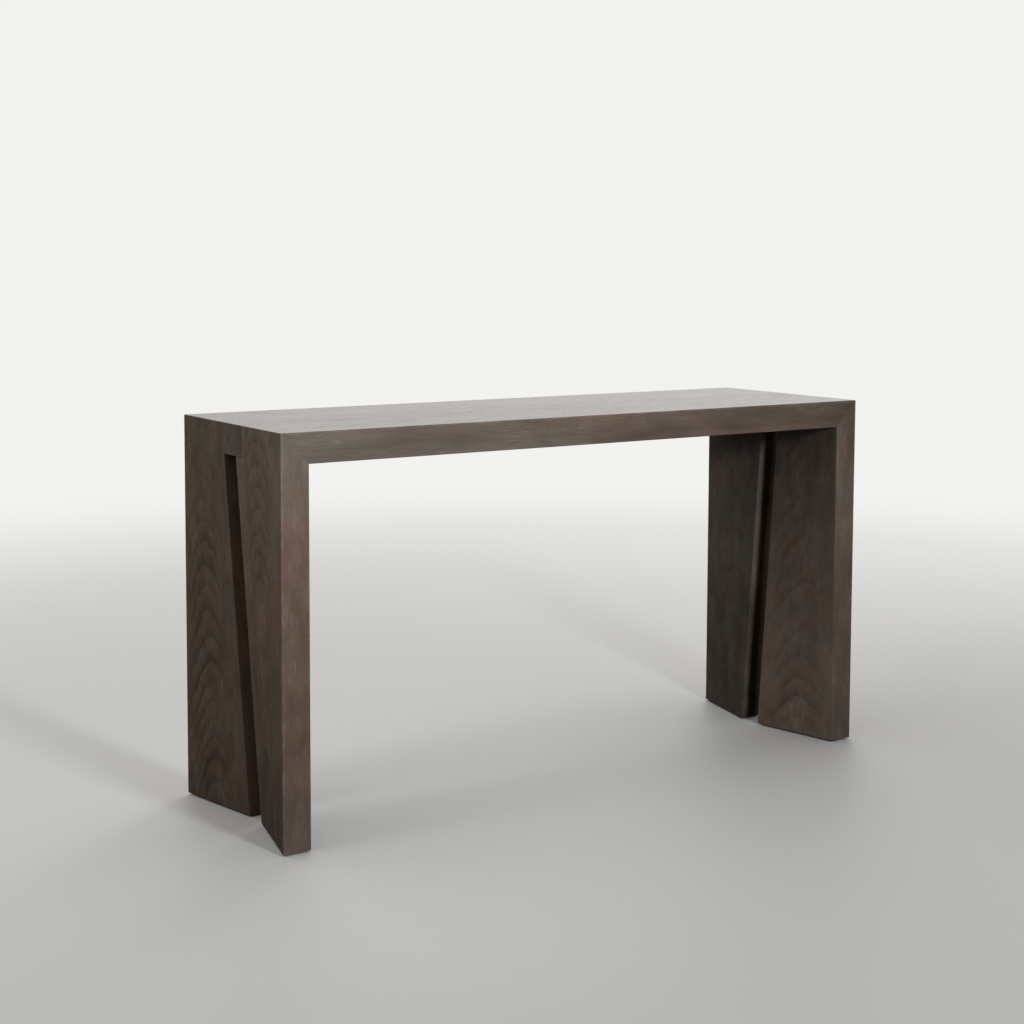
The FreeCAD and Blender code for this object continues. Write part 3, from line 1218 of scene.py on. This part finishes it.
@dataclass
class SlottedEnd:
    """One end of the table: two planks that wind inwards, and the block that bridges them.

    The right end is the left one turned half round, with grain of its own.
    """

    sizes: TableSizes
    end: End
    plans: dict[str, GrainPlan]
    level_steps: int = 26
    depth_steps: int = 2
    width_steps: int = 5
    bridge_steps: int = 2

    def section(self, levels: Sequence[float]) -> np.ndarray:
        """Grid of an upright board up to its mitre.

        Args:
            levels: Heights of the grid below the head, up to the top of the slot.

        Returns:
            Places along the board and depths below its show face.
        """
        sizes = self.sizes
        depths = spread(0.0, sizes.plank_thickness, self.depth_steps, sizes.support)
        slope = sizes.top_thickness / sizes.plank_thickness
        head = MitreRun(sizes.slot_top, sizes.height, slope, sizes.ease).section(depths)
        return np.concatenate([straight_section(levels, depths), head])

    def plank(self, side: Side) -> OakBoard:
        """A straight plank in the left end's layout.

        Args:
            side: Which of the end's planks it is.

        Returns:
            The plank.
        """
        sizes = self.sizes
        outer, slot, head = sizes.outer_edge(side), sizes.slot_edge(side), sizes.head_edge(side)
        levels = [sizes.foot, *np.linspace(sizes.foot + sizes.support, sizes.slot_top, self.level_steps)]
        places = {*spread(outer, slot, self.width_steps, sizes.support), head}
        rows = sorted(places, reverse=slot < outer)
        shown = side if self.end is End.LEFT else side.across()
        node = f"{self.end.value}_{shown.value}_plank"
        return OakBoard(
            node=node,
            plan=self.plans[node],
            lie=Lie.UPRIGHT,
            face=sizes.left_face,
            section=self.section(levels),
            rows=rows,
            kinds={BoardFace.END: FaceKind.GLUED, BoardFace.LAST_EDGE: FaceKind.BRIDGED},
            head_start=len(levels) - 1,
            head_rows=rows.index(head),
        )

    def bridge(self) -> OakBoard:
        """The block that closes the slot at its head, in the left end's layout.

        Returns:
            The block.
        """
        sizes = self.sizes
        node = f"{self.end.value}_bridge_block"
        bridged = (BoardFace.FIRST_EDGE, BoardFace.LAST_EDGE)
        return OakBoard(
            node=node,
            plan=self.plans[node],
            lie=Lie.UPRIGHT,
            face=sizes.left_face,
            section=self.section([sizes.slot_top]),
            rows=spread(sizes.bridge_front, sizes.slot_rear, self.bridge_steps, sizes.support),
            kinds={BoardFace.END: FaceKind.GLUED, **dict.fromkeys(bridged, FaceKind.BRIDGED)},
        )

    def stand(self, board: OakBoard, piece: bpy.types.Object) -> None:
        """Turns a piece half round for the right end, and finishes it.

        Args:
            board: The board in the left end's layout.
            piece: Its piece, with its material.
        """
        if self.end is End.RIGHT:
            piece.data.transform(Matrix.Rotation(math.pi, 4, "Z"))
        board.finish(piece)

    def build(self, finish: bpy.types.Material, winding: WindingTree) -> None:
        """Makes and dresses the planks and the bridge block.

        Args:
            finish: The boards' material.
            winding: The rule that winds the planks.
        """
        for side in Side:
            plank = self.plank(side)
            piece = plank.make(self.sizes)
            winding.wind(piece, self.sizes, side, finish)
            self.stand(plank, piece)
        bridge = self.bridge()
        piece = bridge.make(self.sizes)
        piece.data.materials.append(finish)
        self.stand(bridge, piece)


@dataclass
class FloorGlides:
    """Low moulded pads under the planks, set out by a Geometry Nodes row.

    Attributes:
        round_over: Radius of the lower rim.
        wall_share: Height of the outer wall, as a share of the pad's.
        step_share: Height where the step under the plank starts, as a share of the pad's.
        neck_share: Radius above the step, as a share of the pad's.
    """

    sizes: TableSizes
    diameter: float = 0.022
    round_over: float = 0.0007
    rim_steps: int = 3
    wall_share: float = 0.7
    step_share: float = 0.76
    neck_share: float = 0.93
    sides: int = 40
    merge_gap: float = 1e-6
    sharp_angle: float = 35.0

    def places(self) -> list[Vector]:
        """Centres of the pads on the floor.

        Returns:
            The centres at the left end, and then those at the right end.
        """
        sizes = self.sizes
        found = []
        for side in Side:
            outer = Vector((sizes.left_face + sizes.plank_thickness / 2, sizes.outer_edge(side), 0.0))
            slot = Vector((outer.x + sizes.twist, sizes.slot_edge(side) - sizes.lean, 0.0))
            along = (slot - outer).normalized() * sizes.glide_margin
            found += [outer + along, slot - along]
        return found + [Vector((-place.x, -place.y, place.z)) for place in found]

    def pad_mesh(self) -> bpy.types.Mesh:
        """One pad: a turned disc with a round lower rim and a shallow step under the plank.

        Returns:
            The pad's mesh.
        """
        radius, height, rim = self.diameter / 2, self.sizes.foot, self.round_over
        neck = radius * self.neck_share
        profile = [(0.0, 0.0), (radius - rim, 0.0)]
        for step in range(1, self.rim_steps + 1):
            angle = math.pi / 2 * step / self.rim_steps
            profile.append((radius - rim + rim * math.sin(angle), rim - rim * math.cos(angle)))
        profile += [(radius, height * self.wall_share), (neck, height * self.step_share)]
        profile += [(neck, height), (0.0, height)]
        shape = bmesh.new()
        chain = [shape.verts.new((x, 0.0, z)) for x, z in profile]
        edges = [shape.edges.new(pair) for pair in zip(chain, chain[1:])]
        turn = {"axis": (0, 0, 1), "cent": (0, 0, 0), "angle": 2 * math.pi, "steps": self.sides}
        bmesh.ops.spin(shape, geom=chain + edges, use_merge=True, **turn)
        bmesh.ops.remove_doubles(shape, verts=shape.verts, dist=self.merge_gap)
        bmesh.ops.recalc_face_normals(shape, faces=shape.faces)
        mesh = bpy.data.meshes.new("glide_pad")
        shape.to_mesh(mesh)
        shape.free()
        return mesh

    def build(self, finish: bpy.types.Material) -> None:
        """Makes the pads as one piece.

        Args:
            finish: The pads' material.
        """
        pad = add_object("glide_pad", self.pad_mesh())
        points = bpy.data.meshes.new("floor_glides")
        points.from_pydata(self.places(), [], [])
        piece = add_object("floor_glides", points)
        GlideRow().run(piece, {"Pad": pad, "Finish": finish})
        bpy.data.objects.remove(pad)
        shade_smooth(piece.data, self.sharp_angle)
        nodes = [f"{end.value}_{side.value}_glides" for end in End for side in Side]
        hand_over(piece, nodes)


def dress_hidden_nodes(beech: bpy.types.Material, steel: bpy.types.Material) -> None:
    """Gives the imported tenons, dowels and nails their finishes.

    Args:
        beech: Material of the tenons and dowels.
        steel: Material of the nails.
    """
    finishes = {"beech": beech, "nail_steel": steel}
    for part in frame["record"]["subparts"]:
        finish = finishes.get(part["material_slot"])
        if finish is None:
            continue
        for holder in frame["nodes"][part["node"]].material_slots:
            holder.material = finish
        log.info("%s: %s", part["node"], finish.name)


@dataclass(frozen=True)
class Lamp:
    """A soft oblong lamp that faces a point.

    Attributes:
        power: Power in watts.
        spread: Angle of its beam in degrees.
    """

    name: str
    place: Point
    target: Point
    size: Span
    power: float
    spread: float
    colour: Colour

    def build(self) -> None:
        """Puts the lamp in the scene, hidden from reflections."""
        light = bpy.data.lights.new(self.name, "AREA")
        light.shape = "RECTANGLE"
        light.size, light.size_y = self.size
        light.energy = self.power
        light.color = self.colour
        light.spread = math.radians(self.spread)
        lamp = bpy.data.objects.new(self.name, light)
        lamp.visible_glossy = False
        lamp.location = self.place
        facing = Vector(self.target) - Vector(self.place)
        lamp.rotation_euler = facing.to_track_quat("-Z", "Y").to_euler()
        bpy.context.scene.collection.objects.link(lamp)


LAMPS = (
    Lamp(
        name="key", place=(-0.19, -3.2, 1.55), target=(-0.42, -0.2, 1.52), size=(0.42, 0.50),
        power=22.5, spread=76.0, colour=(0.97, 0.99, 1.07),
    ),
    Lamp(
        name="fill", place=(-2.7, -0.10, 2.3), target=(-0.7, 0.0, 1.25), size=(0.60, 0.60),
        power=2.6, spread=70.0, colour=(1.0, 0.985, 0.96),
    ),
    Lamp(
        name="back", place=(2.6, 2.4, 2.0), target=(0.2, 0.0, 0.45), size=(1.20, 1.20),
        power=12.0, spread=120.0, colour=(1.0, 0.99, 0.97),
    ),
)


@dataclass(frozen=True)
class PhotoCamera:
    """The camera that took the photograph, in metres and degrees in the table's frame.

    Attributes:
        focal_pixels: Focal length in pixels of the square frame.
        centre_pixels: Where the optical axis meets the frame, from its top left corner.
    """

    place: Point = (-1.9908, -2.9253, 1.0666)
    yaw: float = 33.9078
    pitch: float = 4.3065
    roll: float = 0.2519
    focal_pixels: float = 1700.66
    centre_pixels: Span = (529.89, 388.50)

    def build(self) -> None:
        """Makes the camera and gives it to the scene."""
        lens = bpy.data.cameras.new("photo_camera")
        lens.sensor_fit = "HORIZONTAL"
        lens.lens = self.focal_pixels * lens.sensor_width / IMAGE_PIXELS
        lens.shift_x = 0.5 - self.centre_pixels[0] / IMAGE_PIXELS
        lens.shift_y = self.centre_pixels[1] / IMAGE_PIXELS - 0.5
        seat = Matrix.Translation(self.place)
        for angle, axis in ((-self.yaw, "Z"), (90.0 - self.pitch, "X"), (self.roll, "Z")):
            seat = seat @ Matrix.Rotation(math.radians(angle), 4, axis)
        camera = bpy.data.objects.new("photo_camera", lens)
        camera.matrix_world = seat
        bpy.context.scene.collection.objects.link(camera)
        bpy.context.scene.camera = camera


@dataclass(frozen=True)
class Studio:
    """Plain pale floor, white surround and soft lamps.

    Attributes:
        surround_colour: Colour of the surround to the camera and in reflections.
        ambient: Brightness of the surround as light on the table, from the front and from behind.
        ambient_span: Where the one turns into the other, from -1 in front to 1 behind.
        climb: How that brightness is scaled from the horizon to overhead.
        climb_span: Where the one turns into the other, from 0 at the horizon to 1 overhead.
        floor_bounce: Colour with which the floor throws light back on the table.
        fade: Distances from the table over which the floor turns to the surround's colour.
    """

    surround_colour: Colour = (0.89, 0.885, 0.865)
    ambient: Span = (0.24, 0.58)
    ambient_span: Span = (-0.35, 0.55)
    climb: Span = (0.05, 2.25)
    climb_span: Span = (0.0, 0.8)
    floor_colour: Colour = (0.62, 0.615, 0.60)
    floor_bounce: Colour = (0.13, 0.13, 0.127)
    floor_roughness: float = 0.55
    floor_size: float = 40.0
    fade: Span = (0.8, 4.6)

    def floor(self) -> None:
        """Lays the floor, which fades into the surround away from the table for the camera alone."""
        half = self.floor_size / 2
        mesh = bpy.data.meshes.new("floor")
        corners = [(-half, -half, 0), (half, -half, 0), (half, half, 0), (-half, half, 0)]
        mesh.from_pydata(corners, [], [(0, 1, 2, 3)])
        ground = add_object("floor", mesh)
        material, graph = new_material("pale_floor")
        seen = graph.background_rays()
        colour = graph.mix(seen, self.floor_bounce, self.floor_colour)
        shader = graph.shader({"Base Color": colour, "Roughness": self.floor_roughness})
        pale = graph.node("ShaderNodeEmission", {"Color": self.surround_colour}).outputs[0]
        away = graph.blend(graph.length(graph.place()), self.fade, (0.0, 1.0))
        inputs = {0: graph.times(away, seen), 1: shader, 2: pale}
        graph.surface(graph.node("ShaderNodeMixShader", inputs).outputs[0])
        mesh.materials.append(material)

    def surround(self) -> None:
        """Makes the surround pale to the camera and in reflections, and a soft light from behind."""
        world = bpy.data.worlds.new("surround")
        bpy.context.scene.world = world
        world.use_nodes = True
        graph = NodeGraph(world.node_tree)
        seen = graph.background_rays()
        _, ahead, above = graph.parts(graph.place("Generated"))
        level = graph.blend(ahead, self.ambient_span, self.ambient)
        soft = graph.times(level, graph.blend(above, self.climb_span, self.climb))
        strength = graph.times(seen, graph.math("SUBTRACT", 1.0, soft), soft)
        light = graph.node("ShaderNodeBackground", {"Color": self.surround_colour, "Strength": strength})
        graph.node("ShaderNodeOutputWorld", {"Surface": light.outputs[0]})

    def build(self) -> None:
        """Sets up floor, surround and lamps."""
        bpy.context.scene.view_settings.view_transform = "Standard"
        self.floor()
        self.surround()
        for lamp in LAMPS:
            lamp.build()


TOP_LACQUER = (0.71, 1.03, 1.35)
TOP_DRAW = 2.4
TOP_PLANS = {
    # Painted light: tone highest at the left end, as light falling off to the right; greyer there too.
    "top_front_board": GrainPlan(
        shift=3.1, pith_across=0.02, pith_depth=0.17,
        tone=(0.25, 0.11, -0.05, -0.08, -0.09, -0.05),
        warmth=(-0.80, -0.50, -0.20, -0.10, -0.10, -0.15),
        figure=(0.7,), lacquer=TOP_LACQUER, wear=0.35, taper=0.03, draw=TOP_DRAW,
    ),
    "top_middle_board": GrainPlan(
        shift=8.6, pith_across=-0.03, pith_depth=0.15, tone=(-0.09,), warmth=(-0.1, 0.1),
        figure=(0.9,), lacquer=TOP_LACQUER, taper=0.04, draw=TOP_DRAW,
    ),
    "top_rear_board": GrainPlan(
        shift=14.9, pith_across=0.01, pith_depth=0.19, tone=(0.06,), warmth=(0.1, -0.1),
        figure=(0.8,), lacquer=TOP_LACQUER, taper=-0.035, draw=TOP_DRAW,
    ),
}
END_PLANS = {
    # Painted light: the tone rises from foot to head, as the light falls off towards the floor.
    "left_front_plank": GrainPlan(
        shift=62.2, pith_across=0.005, pith_depth=0.13,
        tone=(-0.32, -0.10, 0.18, 0.36, 0.44),
        warmth=(-0.25, 0.00, 0.05, 0.00, -0.30),
        figure=(0.2, 0.35, 0.65, 0.6), wear=0.6,
        edge_tone=(0.47, 0.13, -0.09, -0.16, -0.02),
        edge_warmth=(-0.05, 0.20, 0.32, 0.32, 0.18, -0.60),
    ),
    "left_rear_plank": GrainPlan(
        shift=30.03, pith_across=0.012, pith_depth=0.14,
        tone=(0.02, 0.12, 0.08),
        warmth=(0.05, 0.00, -0.20),
        # Painted shade in its slot: the slot edge is painted warmer and a little darker towards its
        # middle.
        figure=(1.1, 1.2, 0.8, 0.4), slot_painted_shade=-0.1, slot_shade_warmth=1.2,
    ),
    # Painted light and shade: tone high at the foot, where light reaches, low at the head, under the top.
    "right_front_plank": GrainPlan(
        shift=33.4, pith_across=-0.006, pith_depth=0.18,
        tone=(0.62, 0.54, 0.25, 0.06, -0.32),
        warmth=(-0.10, -0.10, -0.05, -0.10, -0.20),
        figure=(0.8, 0.5), wear=0.3,
        edge_tone=(-0.20, -0.28, -0.08, 0.32, 0.27),
    ),
    # Painted light and shade: tone darkest at the head, in shade under the top, lighter mid-plank.
    "right_rear_plank": GrainPlan(
        shift=40.2, pith_across=0.015, pith_depth=0.17,
        tone=(-0.05, -0.05, 0.20, 0.02, -0.35),
        # Painted shade nearly black deep in the slot; the raised wear is also a painted highlight.
        warmth=(-0.45,), figure=(0.3,), wear=0.3, slot_painted_shade=-1.1, slot_shade_warmth=1.2,
    ),
    "left_bridge_block": GrainPlan(
        shift=46.5, pith_across=0.05, pith_depth=0.12, tone=(0.02,), warmth=(-0.45,), wear=0.3,
    ),
    "right_bridge_block": GrainPlan(
        shift=52.7, pith_across=-0.04, pith_depth=0.12, tone=(-0.10,), warmth=(-0.3,),
    ),
}


def main() -> None:
    """Builds the studio, the boards and the small pieces in order."""
    logging.basicConfig(level=logging.INFO, format="%(name)s: %(message)s")
    sizes = TableSizes.from_frame()
    Studio().build()
    PhotoCamera().build()
    oak = StainedOak().material()
    TopSlab(sizes, TOP_PLANS).build(oak)
    winding = WindingTree()
    for end in End:
        SlottedEnd(sizes, end, END_PLANS).build(oak, winding)
    FloorGlides(sizes).build(MOULDED_NYLON.material())
    dress_hidden_nodes(BARE_BEECH.material(), BRIGHT_STEEL.material())


if __name__ == "__main__":
    main()
